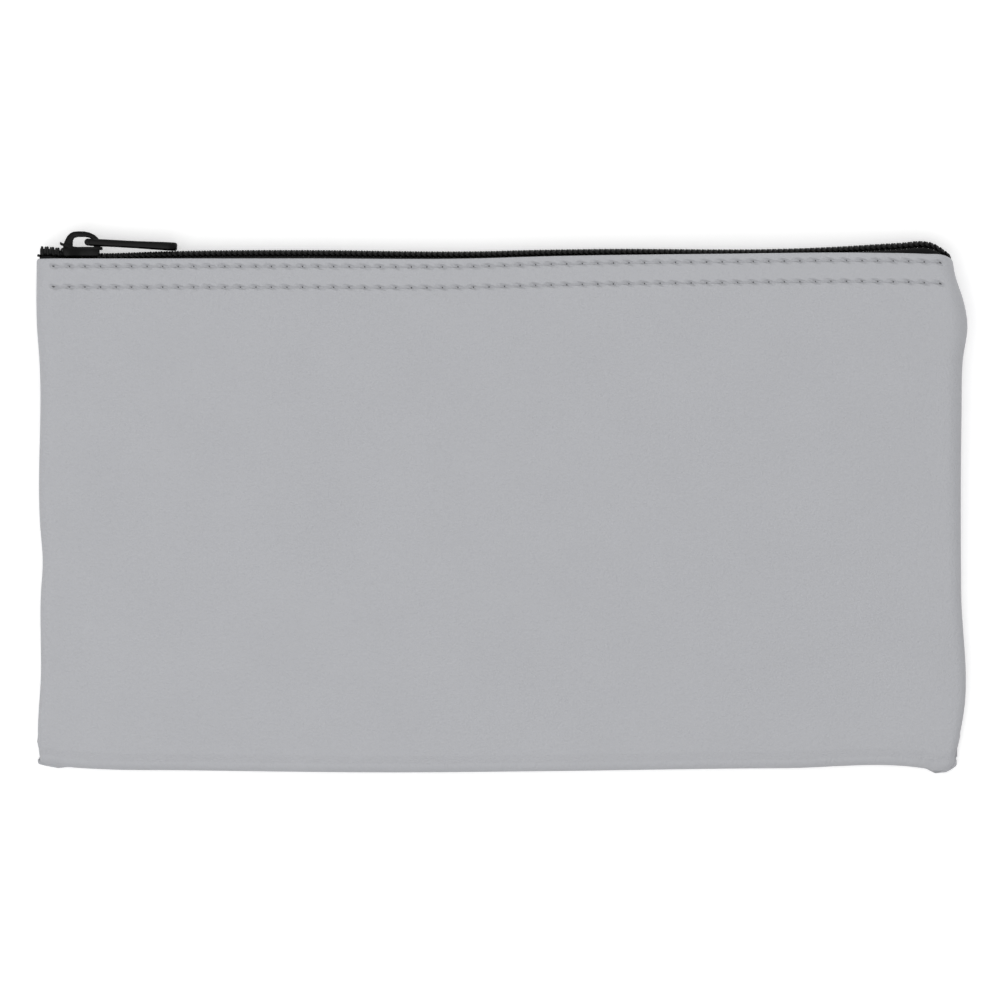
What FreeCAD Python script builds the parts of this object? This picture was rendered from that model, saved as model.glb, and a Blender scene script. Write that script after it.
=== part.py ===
import FreeCAD, Part
import os
import re
import Sketcher

# Cash deposit bag lying on its back. +Z is up, X runs along the zipper, the mouth faces -Y.
# Every length is in millimetres.

doc = FreeCAD.newDocument("deposit_bag")
sheet = doc.addObject("Spreadsheet::Sheet", "Dims")

SIZES = [
    # bag outline and thickness
    ("bag_width", 279.4),
    ("bag_height", 156.0),
    ("foot_thickness", 5.2),
    ("level_depth", 16.0),
    ("skin", 0.8),
    ("seam_gap", 0.2),
    ("allowance", 8.0),
    # turned hem at the mouth
    ("hem_depth", 11.0),
    ("hem_end_clear", 0.4),
    ("layer_gap", 0.05),
    # zipper tape and coil
    ("tape_thickness", 0.5),
    ("tape_depth", 12.0),
    ("tape_end_clear", 0.6),
    ("tape_split", 0.65),
    ("tape_bed", 0.1),
    ("coil_rise", 2.0),
    ("coil_reach", 2.6),
    ("coil_overlap", 0.6),
    ("coil_pitch", 1.64),
    ("coil_wire", 0.6),
    ("coil_spine", 0.7),
    ("coil_end_clear", 0.9),
    ("cord_width", 0.9),
    ("cord_height", 1.0),
    ("cord_clear", 0.06),
    ("tack_width", 0.28),
    ("tack_rise", 0.4),
    # slider, measured from its own middle
    ("slider_from_end", 12.7),
    ("slider_nose", 6.5),
    ("slider_tail", 6.6),
    ("plate_thickness", 0.9),
    ("plate_clear", 0.2),
    ("lip_thickness", 0.7),
    ("lip_clear", 0.15),
    ("tape_clear", 0.4),
    ("nose_trim", 1.2),
    ("divider_half", 0.5),
    ("divider_length", 3.4),
    ("divider_back", 0.6),
    ("divider_clear", 0.1),
    ("bridge_width", 2.4),
    ("bridge_bar", 1.6),
    ("bridge_front_leg", 2.9),
    ("bridge_back_leg", 2.1),
    ("bridge_set_in", 1.1),
    ("bridge_slope", 2.9),
    ("drop_clear", 0.47),
    # pull tab, measured from the pin of its eye
    ("tab_length", 27.1),
    ("tab_width", 5.2),
    ("tab_thickness", 2.2),
    ("tab_round", 2.3),
    ("pin_side_clear", 0.3),
    ("pin_plate_clear", 0.4),
    ("pin_top_clear", 0.3),
    ("eye_side_clear", 0.15),
    ("eye_end_clear", 0.35),
    ("tab_rest_clear", 0.12),
    # sewing
    ("stitch_pitch", 4.7),
    ("thread_size", 0.5),
    ("leg_width", 0.3),
    ("leg_gap", 0.05),
    ("groove_depth", 0.45),
    ("groove_width", 0.7),
    ("thread_sink", 0.05),
    ("edge_row", 2.45),
    ("hem_row", 8.75),
    ("row_end_clear", 3.0),
    ("seam_row", 4.0),
    ("seam_bite", 0.6),
]

for row, (alias, size) in enumerate(SIZES, start=1):
    sheet.set("A%d" % row, alias)
    sheet.set("B%d" % row, "%.10g" % size)
    sheet.setAlias("B%d" % row, alias)
doc.recompute()

# Sizes that follow from others: the arch clears the tab's pin, and the mouth clears the slider.
DERIVED = {
    "bridge_rise": "(pin_plate_clear + tab_thickness + pin_top_clear + bridge_bar)",
    "slider_half": "(coil_reach + tack_width + lip_clear + coil_overlap + divider_half + divider_clear"
                   " + lip_thickness)",
    "hem_stack": "(2 * skin + 2 * layer_gap + tape_thickness)",
    "mouth_thickness": "(2 * (slider_half + drop_clear + hem_stack))",
}

# Levels across the bag, from the table up, as formulas of the sheet's values.
mouth_y = "(-bag_height / 2)"
foot_y = "(bag_height / 2)"
level_y = "(-bag_height / 2 + level_depth)"
mid_z = "(mouth_thickness / 2)"
foot_mid_z = "(foot_thickness / 2)"
half_gap = "(seam_gap / 2)"
turned_far = "(2 * skin + layer_gap)"
tape_face = "(2 * skin + 2 * layer_gap)"
tape_inner = "(%s + tape_thickness)" % tape_face

# Levels out of the mouth, counted outward from its fold.
coil_top = "(tape_bed + coil_rise)"
plate_inner = "(%s + plate_clear)" % coil_top
plate_outer = "(%s + plate_thickness)" % plate_inner
tape_back = "(tape_bed - tape_thickness)"
chain_half = "(coil_reach + tack_width)"
nose_shift = "(coil_overlap + divider_half + divider_clear)"
tail_inner = "(%s + lip_clear)" % chain_half
nose_inner = "(%s + %s)" % (tail_inner, nose_shift)
slider_x = "(bag_width / 2 - slider_from_end)"
pin_out = "(%s + tab_thickness / 2 + pin_plate_clear)" % plate_outer
hole_back = "(-slider_tail + bridge_set_in + bridge_back_leg)"
hole_front = "(slider_nose - bridge_set_in - bridge_front_leg)"
pin_x = "(%s + tab_thickness / 2 + pin_side_clear)" % hole_back
hole_top = "(%s + bridge_rise - bridge_bar)" % plate_outer
bridge_top = "(%s + bridge_rise)" % plate_outer


def expand(text):
    """Formula with every derived size written out in the sheet's values."""
    for _ in DERIVED:
        text = re.sub(r"[a-z][a-z_0-9]*", lambda match: DERIVED.get(match.group(0), match.group(0)), text)
    return text


def bound(text):
    """Formula for setExpression, with each value found on the sheet."""
    def name(match):
        word = match.group(0)
        return word if word == "atan" else "Dims." + word
    return re.sub(r"[a-z][a-z_0-9]*", name, expand(text))


def size(text):
    """Present value of a formula."""
    return float(sheet.evalExpression(expand(text)))


def new_body(label, base=None):
    """Body with its label and, if given, a placement bound to the sheet."""
    body = doc.addObject("PartDesign::Body", label)
    body.Label = label
    for axis, text in zip("xyz", base or ()):
        body.setExpression("Placement.Base." + axis, bound(text))
    return body


def sketch(body, role, offset=None):
    """Empty sketch on one of the body's origin planes."""
    plane = [f for f in body.Origin.OriginFeatures if f.Role == role][0]
    made = body.newObject("Sketcher::SketchObject", "Sketch")
    made.AttachmentSupport = [(plane, "")]
    made.MapMode = "FlatFace"
    if offset is not None:
        made.setExpression("AttachmentOffset.Base.z", bound(offset))
    return made


def add_loop(made, points):
    """Closed polygon whose corners are all bound to the sheet."""
    first = made.GeometryCount
    count = len(points)
    places = [FreeCAD.Vector(size(a), size(b), 0) for a, b in points]
    for i in range(count):
        made.addGeometry(Part.LineSegment(places[i], places[(i + 1) % count]))
    for i in range(count):
        after = first + (i + 1) % count
        made.addConstraint(Sketcher.Constraint("Coincident", first + i, 2, after, 1))
    for i, (across, up) in enumerate(points):
        for kind, text, now in (("DistanceX", across, places[i].x), ("DistanceY", up, places[i].y)):
            at = made.addConstraint(Sketcher.Constraint(kind, -1, 1, first + i, 1, now))
            made.setExpression("Constraints[%d]" % at, bound(text))


def pad(body, role, loops, length, offset=None, both=True):
    """Pad of polygons, the same both ways from the sketch unless both is False."""
    made = sketch(body, role, offset)
    for loop in loops:
        add_loop(made, loop)
    feature = body.newObject("PartDesign::Pad", "Pad")
    feature.Profile = made
    feature.SideType = "Symmetric" if both else "One side"
    feature.setExpression("Length", bound(length))
    doc.recompute()
    return feature


def pocket(body, role, loops, length):
    """Pocket of polygons, cut the same both ways from the sketch."""
    made = sketch(body, role)
    for loop in loops:
        add_loop(made, loop)
    before = body.Shape.Volume
    feature = body.newObject("PartDesign::Pocket", "Pocket")
    feature.Profile = made
    feature.SideType = "Symmetric"
    feature.setExpression("Length", bound(length))
    doc.recompute()
    if not body.Shape.Volume < before:
        raise RuntimeError("a pocket of %s removed nothing" % body.Label)
    return feature


def fillet(body, radius, wanted):
    """Round the edges of the tip for which wanted(edge) is true."""
    tip = body.Tip
    names = ["Edge%d" % n for n, e in enumerate(tip.Shape.Edges, start=1) if wanted(e)]
    feature = body.newObject("PartDesign::Fillet", "Fillet")
    feature.Base = (tip, names)
    feature.setExpression("Radius", bound(radius))
    doc.recompute()
    if not body.Shape.isValid():
        raise RuntimeError("a fillet of %s is not valid" % body.Label)
    return feature


def rect(a_low, a_high, b_low, b_high):
    """Corners of a rectangle."""
    return [(a_low, b_low), (a_high, b_low), (a_high, b_high), (a_low, b_high)]


def mirrored(front, level):
    """Height on the front half that mirrors a height on the back half, above a given depth."""
    return "(mouth_thickness - %s)" % level if front else level


# ---------------------------------------------------------------- panels
def panel_section(front, near, far):
    """Section from height near to height far, both counted from the panel's outside."""
    if front:
        low = "(mouth_thickness - %s)"
        foot = "(foot_thickness - %s)"
    else:
        low = "(%s)"
        foot = "(%s)"
    near_mouth, near_foot = near
    far_mouth, far_foot = far
    return low % near_mouth, foot % near_foot, low % far_mouth, foot % far_foot


def panel_loop(front, start_y, end_y, near, far):
    """Polygon that follows the level mouth region and then the slope down to the foot."""
    near_m, near_f, far_m, far_f = panel_section(front, near, far)
    return [
        (start_y, near_m), (level_y, near_m), (end_y, near_f),
        (end_y, far_f), (level_y, far_m), (start_y, far_m),
    ]


def make_panel(label, front):
    """One vinyl panel: face, side and foot walls, seam allowance and turned hem."""
    body = new_body(label)
    seam_m = "(%s - %s)" % (mid_z, half_gap)
    seam_f = "(%s - %s)" % (foot_mid_z, half_gap)
    if front:
        outer = panel_loop(True, mouth_y, foot_y, ("0 * skin", "0 * skin"), (seam_m, seam_f))
    else:
        flat = ("0 * skin", "0 * skin")
        outer = panel_loop(False, mouth_y, foot_y, flat, (seam_m, seam_f))
        outer.pop(1)
    pad(body, "YZ_Plane", [outer], "bag_width")

    wall = "(%s - skin)" % foot_y
    start = "(%s - 1)" % mouth_y
    clear_y = "(%s + tape_depth + 1)" % mouth_y
    past = ("(%s + seam_gap)" % seam_m, "(%s + seam_gap)" % seam_f)
    under = ("(%s - skin)" % seam_m, "(%s - skin)" % seam_f)
    cavity = panel_loop(front, start, wall, ("skin", "skin"), under)
    if not front:
        cavity.pop(1)
    high = mirrored(front, past[0])
    cavity[-1:] = [(clear_y, mirrored(front, under[0])), (clear_y, high), (start, high)]
    pocket(body, "YZ_Plane", [cavity], "bag_width - 2 * skin")
    flange_y = "(%s - skin - allowance)" % foot_y
    near = ("(%s - skin - seam_gap)" % seam_m, "(%s - skin - seam_gap)" % seam_f)
    pocket(body, "YZ_Plane", [sloped_to(front, flange_y, near, past)], "bag_width - 2 * skin - 2 * allowance")

    fold = "(%s + skin)" % mouth_y
    hem_end = "(%s + hem_depth)" % mouth_y
    turn = [
        (mouth_y, mirrored(front, "(skin * 0.9)")), (fold, mirrored(front, "(skin * 0.9)")),
        (fold, mirrored(front, "(skin + layer_gap)")), (hem_end, mirrored(front, "(skin + layer_gap)")),
        (hem_end, mirrored(front, turned_far)), (mouth_y, mirrored(front, turned_far)),
    ]
    pad(body, "YZ_Plane", [turn], "bag_width - 2 * skin - 2 * hem_end_clear")

    for row in ("edge_row", "hem_row"):
        at = "(%s + %s)" % (mouth_y, row)
        outside_z = mirrored(front, "(-skin)")
        cut = rect("(%s - groove_width / 2)" % at, "(%s + groove_width / 2)" % at,
                   outside_z, mirrored(front, "groove_depth"))
        pocket(body, "YZ_Plane", [cut], "bag_width - 2 * row_end_clear")
    return body


def sloped_to(front, end_y, near, past):
    """Polygon like panel_loop but ending short of the foot, on the same slope."""
    share = "((%s - %s) / (%s - %s))" % (end_y, level_y, foot_y, level_y)

    def part_way(levels):
        first = mirrored(front, levels[0])
        last = "(foot_thickness - %s)" % levels[1] if front else levels[1]
        return first, "(%s + (%s - %s) * %s)" % (first, last, first, share)

    near_m, near_e = part_way(near)
    past_m, past_e = part_way(past)
    start = "(%s - 1)" % mouth_y
    return [
        (start, near_m), (level_y, near_m), (end_y, near_e),
        (end_y, past_e), (level_y, past_m), (start, past_m),
    ]


# ---------------------------------------------------------------- zipper tape
def make_tape(label, front):
    """Tape: a narrow flat bed for the coil, then a fold down inside the hem."""
    body = new_body(label)
    out_y = "(%s - tape_bed)" % mouth_y
    in_y = "(%s - tape_bed + tape_thickness)" % mouth_y
    end_y = "(%s + tape_depth)" % mouth_y
    bed = "(%s - tape_split)" % mid_z
    loop = [
        (out_y, mirrored(front, tape_face)), (out_y, mirrored(front, bed)),
        (in_y, mirrored(front, bed)), (in_y, mirrored(front, tape_inner)),
        (end_y, mirrored(front, tape_inner)), (end_y, mirrored(front, tape_face)),
    ]
    pad(body, "YZ_Plane", [loop], "bag_width - 2 * skin - 2 * tape_end_clear")
    return body


# ---------------------------------------------------------------- coil, cord and tacking
def spread(x):
    """How far one coil stands off the middle at a place along the zipper."""
    start = size(slider_x)
    full = start + size("slider_nose - divider_length + divider_back")
    share = min(max((x - start) / (full - start), 0.0), 1.0)
    return share * size(nose_shift)


def path_points(low, high):
    """Places along the zipper where the coil's path bends."""
    start = size(slider_x)
    full = start + size("slider_nose - divider_length + divider_back")
    return [low, start, full, high]


def extrude_plan(points, front, out_low, out_high):
    """Solid from a plan outline of (x, distance off the middle), between two outward levels."""
    side = 1 if front else -1
    middle = size(mid_z)
    y_low = size(mouth_y) - out_low
    loop = [FreeCAD.Vector(x, y_low, middle + side * off) for x, off in points]
    face = Part.Face(Part.makePolygon(loop + [loop[0]]))
    return face.extrude(FreeCAD.Vector(0, out_low - out_high, 0))


def strip(low, high, inner, outer):
    """Plan outline of a strip that follows the coil's path."""
    line = path_points(low, high)
    near = [(x, spread(x) + inner) for x in line]
    far = [(x, spread(x) + outer) for x in reversed(line)]
    return near + far


def add_solid(label, shape):
    """Plain feature for a solid made with Part functions."""
    feature = doc.addObject("Part::Feature", label)
    feature.Label = label
    feature.Shape = shape
    feature.Placement = FreeCAD.Placement()
    return feature


def make_coil(label, front):
    """Row of nylon elements joined along their backs, with a channel for the filler cord."""
    end = size("bag_width / 2 - skin - coil_end_clear")
    pitch = size("coil_pitch")
    wire = size("coil_wire")
    back = size("coil_reach")
    root = back - size("coil_spine")
    tip = -size("coil_overlap")
    count = int((2 * end - wire) / pitch - 0.5)
    start = -end + (pitch / 2 if front else 0.0)
    points = []
    for i in range(count):
        left = start + i * pitch
        off = spread(left + wire / 2)
        if i:
            points.append((left, off + root))
        points.append((left, off + tip))
        points.append((left + wire, off + tip))
        if i < count - 1:
            points.append((left + wire, off + root))
    low = points[0][0]
    high = points[-1][0]
    points += [(x, spread(x) + back) for x in reversed(path_points(low, high))]
    out_low = size("tape_bed")
    solid = extrude_plan(points, front, out_low, out_low + size("coil_rise"))
    cord_low = back - size("coil_spine / 2 + cord_width") - size("cord_clear")
    cord_high = back - size("coil_spine / 2") + size("cord_clear")
    level = out_low + size("(coil_rise - cord_height) / 2")
    room = size("cord_height") + size("cord_clear")
    channel = extrude_plan(strip(low - 1, high + 1, cord_low, cord_high), front,
                           level - size("cord_clear"), level + room)
    return add_solid(label, solid.cut(channel))


def make_cord(label, front):
    """Filler cord that runs through the elements."""
    end = size("bag_width / 2 - skin - coil_end_clear") - size("coil_pitch")
    back = size("coil_reach") - size("coil_spine / 2")
    level = size("tape_bed + (coil_rise - cord_height) / 2")
    plan = strip(-end, end, back - size("cord_width"), back)
    return add_solid(label, extrude_plan(plan, front, level, level + size("cord_height")))


def make_tacking(label, front):
    """Thread along the back of the coil that sews it to the tape."""
    end = size("bag_width / 2 - skin - coil_end_clear") - size("coil_pitch")
    back = size("coil_reach")
    low = size("tape_bed")
    plan = strip(-end, end, back, back + size("tack_width"))
    return add_solid(label, extrude_plan(plan, front, low, low + size("tack_rise")))


# ---------------------------------------------------------------- sewing
def crenel(start, count, pitch, leg, low, base, top):
    """Thread outline: a run along a row with one leg down at every stitch.

    Returned as (along, height) pairs; low is the leg end, base and top bound the run.
    """
    points = [(start, top), (start, low), (start + leg, low), (start + leg, base)]
    for i in range(1, count + 1):
        left = start + i * pitch
        points.append((left, base))
        points.append((left, low))
        points.append((left + leg, low))
        if i < count:
            points.append((left + leg, base))
    points.append((start + count * pitch + leg, top))
    return points


def row_solid(points, place, width, rotate=False):
    """Extrude a thread outline across its row."""
    if rotate:
        loop = [FreeCAD.Vector(place - width / 2, a, b) for a, b in points]
        way = FreeCAD.Vector(width, 0, 0)
    else:
        loop = [FreeCAD.Vector(a, place - width / 2, b) for a, b in points]
        way = FreeCAD.Vector(0, width, 0)
    face = Part.Face(Part.makePolygon(loop + [loop[0]]))
    return face.extrude(way)


def make_row(prefix, front, row):
    """Needle and bobbin threads of one lockstitch row through face, hem and tape."""
    pitch = size("stitch_pitch")
    leg = size("leg_width")
    reach = size("bag_width / 2 - row_end_clear") - 1.0
    count = int(2 * reach / pitch)
    start = -count * pitch / 2
    place = size("%s + %s" % (mouth_y, row))
    wide = size("thread_size")
    sink = size("thread_sink")
    meet = size("skin + layer_gap / 2")
    inner = size(tape_inner)

    def heights(points):
        if not front:
            return points
        total = size("mouth_thickness")
        return [(a, total - b) for a, b in points]

    needle = crenel(start, count, pitch, leg, meet, size("groove_depth"), sink)
    offset = start + leg + size("leg_gap")
    bobbin = crenel(offset, count, pitch, leg, meet, inner, inner + wide * 0.8)
    add_solid(prefix + "_needle_thread", row_solid(heights(needle), place, wide))
    add_solid(prefix + "_bobbin_thread", row_solid(heights(bobbin), place, wide))


def seam_under(y):
    """Height of the underside of the back panel's seam allowance at a place down the bag."""
    start = size(level_y)
    share = max((y - start) / (size(foot_y) - start), 0.0)
    mouth = size("%s - %s - skin" % (mid_z, half_gap))
    foot = size("%s - %s - skin" % (foot_mid_z, half_gap))
    return mouth + (foot - mouth) * share


def make_side_seam(label, side):
    """Thread along one side seam, under the back panel's allowance."""
    pitch = size("stitch_pitch")
    leg = size("leg_width")
    wide = size("thread_size")
    bite = size("seam_bite")
    place = side * (size("bag_width / 2 - skin") - size("seam_row"))
    start = size(level_y) + 1.0
    reach = size("%s - skin - allowance" % foot_y) - start
    count = int(reach / pitch)
    top = []
    for i in range(count + 1):
        at = start + i * pitch
        top += [(at, seam_under(at)), (at, seam_under(at) + bite)]
        top += [(at + leg, seam_under(at) + bite), (at + leg, seam_under(at + leg))]
    last = start + count * pitch + leg
    low = [(last, seam_under(last) - wide * 0.6), (start, seam_under(start) - wide * 0.6)]
    return add_solid(label, row_solid(top + low, place, wide, rotate=True))


def make_foot_seam(label):
    """Thread along the foot seam, under the back panel's allowance."""
    pitch = size("stitch_pitch")
    leg = size("leg_width")
    wide = size("thread_size")
    place = size("%s - skin" % foot_y) - size("seam_row")
    base = seam_under(place + wide / 2)
    reach = size("bag_width / 2 - skin - allowance")
    count = int(2 * reach / pitch)
    start = -count * pitch / 2
    points = crenel(start, count, pitch, leg, base + size("seam_bite"), base, base - wide * 0.6)
    return add_solid(label, row_solid(points, place, wide))


# ---------------------------------------------------------------- slider
def taper(outer_tail, outer_nose, trim):
    """Plan outline of a slider plate: narrow at the tail, wide at the nose."""
    nose = "slider_nose"
    full = "(slider_nose - divider_length + divider_back)"
    return [
        ("(-slider_tail)", "(%s - %s)" % (outer_tail, trim)),
        ("(-slider_tail + %s)" % trim, outer_tail), ("0 * skin", outer_tail),
        (full, outer_nose), ("(%s - %s)" % (nose, trim), outer_nose),
        (nose, "(%s - %s)" % (outer_nose, trim)),
        (nose, "(-(%s - %s))" % (outer_nose, trim)), ("(%s - %s)" % (nose, trim), "(-%s)" % outer_nose),
        (full, "(-%s)" % outer_nose), ("0 * skin", "(-%s)" % outer_tail),
        ("(-slider_tail + %s)" % trim, "(-%s)" % outer_tail),
        ("(-slider_tail)", "(-(%s - %s))" % (outer_tail, trim)),
    ]


def lip_loop(sign):
    """Plan outline of one lip along the edge of the outer plate."""
    full = "(slider_nose - divider_length + divider_back)"
    tail = "(-slider_tail + nose_trim)"
    nose = "(slider_nose - nose_trim)"
    tail_out = "(%s + lip_thickness)" % tail_inner
    nose_out = "(%s + lip_thickness)" % nose_inner
    line = [(tail, tail_inner), ("0 * skin", tail_inner), (full, nose_inner), (nose, nose_inner),
            (nose, nose_out), (full, nose_out), ("0 * skin", tail_out), (tail, tail_out)]
    return [(a, "(%s * %s)" % (sign, b)) for a, b in line]


def make_slider():
    """One-piece slider: two plates, divider, lips and the arch for the pull tab."""
    body = new_body("slider_body", (slider_x, mouth_y, mid_z))
    tail_out = "(%s + lip_thickness)" % tail_inner
    nose_out = "(%s + lip_thickness)" % nose_inner
    outline = taper(tail_out, nose_out, "nose_trim")
    pad(body, "XZ_Plane", [outline], "plate_thickness", plate_inner, both=False)
    inner_face = "(%s - tape_clear - plate_thickness)" % tape_back
    back = "(slider_nose - divider_length - divider_back)"
    front = "(slider_nose - divider_back)"
    middle = "(slider_nose - divider_length + divider_back)"
    divider = [
        (back, "0 * skin"), (middle, "(-divider_half)"), (front, "(-divider_half)"),
        (front, "divider_half"), (middle, "divider_half"),
    ]
    depth = "(%s - %s + 0.4 * plate_thickness)" % (plate_inner, inner_face)
    pad(body, "XZ_Plane", [divider], depth, inner_face, both=False)
    pad(body, "XZ_Plane", [outline], "plate_thickness", inner_face, both=False)
    lip_low = "(tape_bed + plate_clear)"
    lips = [lip_loop("1"), lip_loop("-1")]
    pad(body, "XZ_Plane", lips, "(%s - %s + 0.3 * plate_thickness)" % (plate_inner, lip_low),
        lip_low, both=False)
    low = "(-(%s - 0.3 * plate_thickness))" % plate_outer
    top = "(-%s)" % bridge_top
    start = "(-slider_tail + bridge_set_in)"
    end = "(slider_nose - bridge_set_in)"
    arch = [
        (start, low), ("(%s + 0.3)" % start, "(-(%s + 0.4 * bridge_rise))" % plate_outer),
        ("(%s + bridge_slope)" % start, top), ("(%s - bridge_slope)" % end, top),
        ("(%s - bridge_slope * 0.5)" % end, "(-(%s + 0.75 * bridge_rise))" % plate_outer), (end, low),
    ]
    pad(body, "XY_Plane", [arch], "bridge_width")
    floor = "(-%s)" % plate_outer
    roof = "(-%s)" % hole_top
    hole = [
        (hole_back, floor), (hole_back, "(-(%s - bridge_bar * 0.35))" % hole_top),
        ("(%s + bridge_bar * 0.5)" % hole_back, roof),
        ("(%s - bridge_bar * 0.5)" % hole_front, roof),
        (hole_front, "(-(%s - bridge_bar * 0.35))" % hole_top), (hole_front, floor),
    ]
    pocket(body, "XY_Plane", [hole], "2 * bridge_width")
    return body


# ---------------------------------------------------------------- pull tab
def make_tab():
    """Flat pull tab whose eye hooks under the slider's arch."""
    at_x = "(%s + %s)" % (slider_x, pin_x)
    at_y = "(%s - %s)" % (mouth_y, pin_out)
    body = new_body("pull_tab", (at_x, at_y, mid_z))
    half = "(tab_width / 2)"
    pad(body, "XZ_Plane", [rect("(-tab_length)", "0 * skin", "(-%s)" % half, half)], "tab_thickness")
    far = size("-tab_length")

    def end_corner(edge):
        ends = [v.Point for v in edge.Vertexes]
        return all(abs(p.x - far) < 1e-4 for p in ends) and abs(ends[0].z - ends[1].z) < 1e-4

    fillet(body, "tab_round", end_corner)
    eye_half = "(bridge_width / 2 + eye_side_clear)"
    reach = "(slider_nose - bridge_set_in - bridge_slope - %s + eye_end_clear)" % pin_x
    far_reach = "(-(%s + bridge_rise * 0.35))" % reach
    pocket(body, "XZ_Plane", [rect(far_reach, "0 * skin", "(-%s)" % eye_half, eye_half)],
           "2 * tab_thickness")
    made = sketch(body, "XY_Plane")
    made.addGeometry(Part.Circle(FreeCAD.Vector(), FreeCAD.Vector(0, 0, 1), size("tab_thickness / 2")))
    made.addConstraint(Sketcher.Constraint("Coincident", 0, 3, -1, 1))
    at = made.addConstraint(Sketcher.Constraint("Radius", 0, size("tab_thickness / 2")))
    made.setExpression("Constraints[%d]" % at, bound("tab_thickness / 2"))
    pin = body.newObject("PartDesign::Pad", "Pin")
    pin.Profile = made
    pin.SideType = "Symmetric"
    pin.setExpression("Length", bound("tab_width"))
    doc.recompute()
    body.Placement.Rotation = FreeCAD.Rotation(FreeCAD.Vector(0, 0, 1), -1)
    drop = "(%s - %s - tab_rest_clear - tab_thickness / 2)" % (pin_out, coil_top)
    body.setExpression("Placement.Rotation.Angle", "-" + bound("atan(%s / tab_length)" % drop))
    return body


# ---------------------------------------------------------------- build
for side_name, is_front in (("back", False), ("front", True)):
    make_panel(side_name + "_panel", is_front)
    make_tape(side_name + "_zipper_tape", is_front)
    make_coil(side_name + "_coil", is_front)
    make_cord(side_name + "_coil_cord", is_front)
    make_tacking(side_name + "_coil_stitching", is_front)
    make_row(side_name + "_edge", is_front, "edge_row")
    make_row(side_name + "_hem", is_front, "hem_row")
make_side_seam("left_seam_thread", 1)
make_side_seam("right_seam_thread", -1)
make_foot_seam("bottom_seam_thread")
make_slider()
make_tab()
doc.recompute()

for item in doc.Objects:
    if "Invalid" in item.State or "Error" in item.State:
        raise RuntimeError("%s did not recompute: %s" % (item.Label, item.State))

os.makedirs("parts", exist_ok=True)
for item in doc.Objects:
    if item.TypeId == "PartDesign::Body" or item.TypeId == "Part::Feature":
        if item.Shape.isNull() or not item.Shape.isValid():
            raise RuntimeError("%s has no valid shape" % item.Label)
        item.Shape.exportStep("parts/%s.step" % item.Label)
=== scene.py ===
import math

import bpy
import numpy as np
from mathutils import Matrix, Vector


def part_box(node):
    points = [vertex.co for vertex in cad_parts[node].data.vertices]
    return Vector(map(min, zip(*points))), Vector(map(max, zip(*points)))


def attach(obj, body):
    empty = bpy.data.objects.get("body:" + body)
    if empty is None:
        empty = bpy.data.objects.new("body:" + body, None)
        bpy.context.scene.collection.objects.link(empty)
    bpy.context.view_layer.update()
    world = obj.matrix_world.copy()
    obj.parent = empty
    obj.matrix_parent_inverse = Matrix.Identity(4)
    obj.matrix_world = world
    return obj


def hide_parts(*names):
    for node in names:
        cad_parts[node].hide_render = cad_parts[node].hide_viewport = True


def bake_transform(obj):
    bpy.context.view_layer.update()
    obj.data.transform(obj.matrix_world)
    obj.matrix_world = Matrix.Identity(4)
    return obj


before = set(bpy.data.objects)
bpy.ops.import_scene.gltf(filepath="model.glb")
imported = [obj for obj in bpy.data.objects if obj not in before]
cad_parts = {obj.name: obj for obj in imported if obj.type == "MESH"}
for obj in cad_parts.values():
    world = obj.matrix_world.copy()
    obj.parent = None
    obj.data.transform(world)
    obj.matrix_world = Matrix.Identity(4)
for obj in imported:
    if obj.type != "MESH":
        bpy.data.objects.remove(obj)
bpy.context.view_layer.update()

# Cash deposit bag: two vinyl panels, an outside coil zipper, a slider with an arch and a pull tab.
# Metres. The bag lies on its back, its mouth faces -Y and the zipper closes towards +X.

MM = 0.001

# ------------------------------------------------------------------ sizes read from the frame
panel_low, panel_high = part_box("front_panel")
slider_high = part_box("slider_body")[1]
tab_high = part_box("pull_tab")[1]
half_width = panel_high[0]
mouth_y = panel_low[1]
foot_y = panel_high[1]
thick = panel_high[2]
middle_z = thick / 2
foot_thick = 5.2 * MM
foot_middle = foot_thick / 2
level_y = mouth_y + 16 * MM
slider_x = slider_high[0] - 6.5 * MM
skin = 0.8 * MM
turned = 1.65 * MM
pitch = 1.64 * MM
stitch = 4.7 * MM
ROW_LOW = -134.8 * MM
ROW_HIGH = 137.0 * MM
EDGE_ROW = 2.45 * MM
HEM_ROW = 8.75 * MM


# ------------------------------------------------------------------ small helpers
def free():
    """Leave edit mode with nothing selected."""
    if bpy.context.mode != "OBJECT":
        bpy.ops.object.mode_set(mode="OBJECT")
    bpy.ops.object.select_all(action="DESELECT")


def take(obj):
    """Select one object and make it active."""
    free()
    obj.select_set(True)
    bpy.context.view_layer.objects.active = obj


def settle(obj):
    """Put an object's place into its mesh."""
    take(obj)
    bpy.ops.object.transform_apply(location=True, rotation=True, scale=True)


def named(name):
    """Name the active object and its mesh."""
    obj = bpy.context.active_object
    obj.name = name
    obj.data.name = name
    return obj


def points(obj):
    """Vertex coordinates as an array."""
    co = np.zeros(len(obj.data.vertices) * 3)
    obj.data.vertices.foreach_get("co", co)
    return co.reshape(-1, 3)


def move_points(obj, co):
    """Write vertex coordinates back."""
    obj.data.vertices.foreach_set("co", np.asarray(co, float).ravel())
    obj.data.update()


def apply_modifiers(obj):
    """Apply every modifier of an object."""
    take(obj)
    for modifier in list(obj.modifiers):
        bpy.ops.object.modifier_apply(modifier=modifier.name)


def outward(obj):
    """Merge doubles and point every face outwards."""
    take(obj)
    bpy.ops.object.mode_set(mode="EDIT")
    bpy.ops.mesh.select_all(action="SELECT")
    bpy.ops.mesh.remove_doubles(threshold=0.000002)
    bpy.ops.mesh.normals_make_consistent(inside=False)
    free()


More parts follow.
